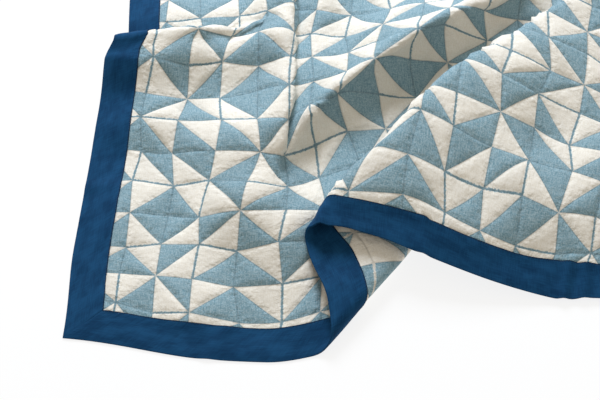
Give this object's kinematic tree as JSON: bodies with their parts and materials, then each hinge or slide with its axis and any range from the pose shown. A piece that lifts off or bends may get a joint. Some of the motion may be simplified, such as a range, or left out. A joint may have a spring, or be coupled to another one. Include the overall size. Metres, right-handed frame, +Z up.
{
  "type": "throw blanket",
  "caption": "Quilted patchwork throw with a wide plain binding, lying loosely with its front right side turned over itself in a long slanting fold.",
  "frame": {"origin": "middle of the laid throw's outline, on the floor it lies on", "axes": "+X to the right along the front edge, +Y from the front edge to the back edge, +Z up"},
  "size_m": [1.2352, 1.5718, 0.0878],
  "materials": {
    "patchwork": "matt",
    "binding": "matt"
  },
  "bodies": {
    "root": {"quilted_panel": "patchwork", "binding_front": "binding", "binding_right": "binding", "binding_back": "binding", "binding_left": "binding"}
  },
  "joints": []
}
